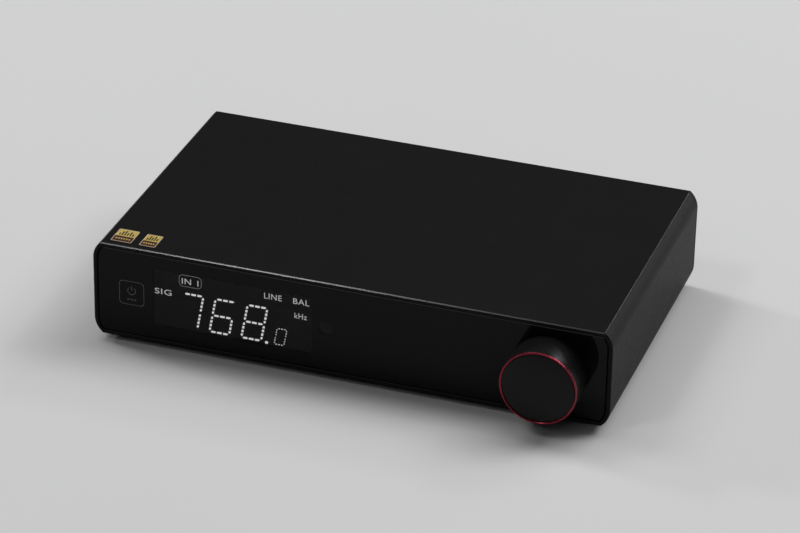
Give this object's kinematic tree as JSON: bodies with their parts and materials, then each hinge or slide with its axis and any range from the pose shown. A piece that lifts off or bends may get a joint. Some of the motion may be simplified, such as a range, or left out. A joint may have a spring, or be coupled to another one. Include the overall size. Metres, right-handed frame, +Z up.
{
  "type": "desktop digital-to-analogue converter",
  "caption": "Low black aluminium box with a dark glass front, a lit display, a round volume knob with a red edge ring, and a rear panel of audio sockets.",
  "frame": {"origin": "on the table under the middle of the whole object's box, knob and rear sockets included", "axes": "+X to the right along the front, +Y from the front panel to the rear panel, +Z up"},
  "size_m": [0.25, 0.174, 0.0512],
  "materials": {
    "anodised_black": "fine bead-blasted black anodising",
    "smoked_glass": "polished smoked glass",
    "black_print": "matt black printed film",
    "black_plastic": "fine moulded texture",
    "red_anodised": "bright red anodising, diamond cut",
    "foot_rubber": "matt",
    "gold_foil": "metallised foil label",
    "nickel": "nickel plating",
    "gold_plate": "gold plating",
    "steel": "plain steel",
    "blackened_steel": "black oxide",
    "circuit_board": "green solder mask",
    "display_black": "display glass, unlit areas",
    "white_plastic": "moulded",
    "red_plastic": "moulded",
    "orange_plastic": "moulded",
    "chip_epoxy": "moulded epoxy",
    "transformer_tape": "tape over windings",
    "capacitor_sleeve": "shrink sleeve",
    "ribbon_film": "flat cable film",
    "lead_sleeve": "woven insulating sleeve"
  },
  "bodies": {
    "chassis": {"antenna_jack": "gold_plate", "antenna_nut": "gold_plate", "balanced_left_pins": "gold_plate", "balanced_left_socket": "black_plastic", "balanced_right_pins": "gold_plate", "balanced_right_socket": "black_plastic", "bulk_capacitor": "capacitor_sleeve", "dac_chip": "chip_epoxy", "display_board": "circuit_board", "display_module": "display_black", "display_ribbon": "ribbon_film", "encoder_bushing": "nickel", "encoder_housing": "steel", "encoder_nut": "nickel", "foil_label_large": "gold_foil", "foil_label_small": "gold_foil", "foot_front_left": "foot_rubber", "foot_front_right": "foot_rubber", "foot_rear_left": "foot_rubber", "foot_rear_right": "foot_rubber", "front_frame": "black_plastic", "front_panel": "smoked_glass", "housing_sleeve": "anodised_black", "interface_chip": "chip_epoxy", "ir_receiver": "chip_epoxy", "main_board": "circuit_board", "mains_contacts": "nickel", "mains_inlet": "black_plastic", "mains_lead": "lead_sleeve", "optical_socket": "black_plastic", "output_relay": "black_plastic", "panel_mask": "black_print", "phono_coax_barrel": "gold_plate", "phono_coax_body": "orange_plastic", "phono_left_barrel": "gold_plate", "phono_left_body": "white_plastic", "phono_right_barrel": "gold_plate", "phono_right_body": "red_plastic", "press_switch": "black_plastic", "psu_transformer": "transformer_tape", "rear_panel": "anodised_black", "rear_screw_1": "blackened_steel", "rear_screw_2": "blackened_steel", "rear_screw_3": "blackened_steel", "rear_screw_4": "blackened_steel", "switch_frame": "black_plastic", "touch_sensor": "gold_plate", "trigger_in_jack": "black_plastic", "trigger_out_jack": "black_plastic", "usb_socket": "nickel", "usb_tongue": "white_plastic", "wireless_module": "nickel"},
    "encoder_rotor": {"encoder_rotor": "black_plastic"},
    "volume_knob": {"knob_shell": "anodised_black", "knob_ring": "red_anodised", "knob_face": "anodised_black", "knob_hub": "black_plastic", "encoder_shaft": "steel"},
    "mains_rocker": {"switch_rocker": "black_plastic"},
    "optical_flap": {"optical_shutter": "black_plastic"}
  },
  "joints": [
    {"name": "volume_spin", "type": "hinge", "parent": "chassis", "child": "encoder_rotor", "pos_m": [0.096, -0.0695, 0.027], "axis": [0, 1, 0], "continuous": true},
    {"name": "volume_press", "type": "slide", "parent": "encoder_rotor", "child": "volume_knob", "axis": [0, 1, 0], "range_m": [0, 0.0005], "stiffness_N_per_m": 4000, "springref_m": -0.0003},
    {"name": "mains_rocker_tilt", "type": "hinge", "parent": "chassis", "child": "mains_rocker", "pos_m": [-0.08, 0.0765, 0.027], "axis": [1, 0, 0], "range_deg": [-18, 0]},
    {"name": "optical_flap_swing", "type": "hinge", "parent": "chassis", "child": "optical_flap", "pos_m": [0.002, 0.0765, 0.0305], "axis": [-1, 0, 0], "range_deg": [0, 78], "stiffness_Nm_per_rad": 0.0004, "springref_deg": -28.65}
  ]
}
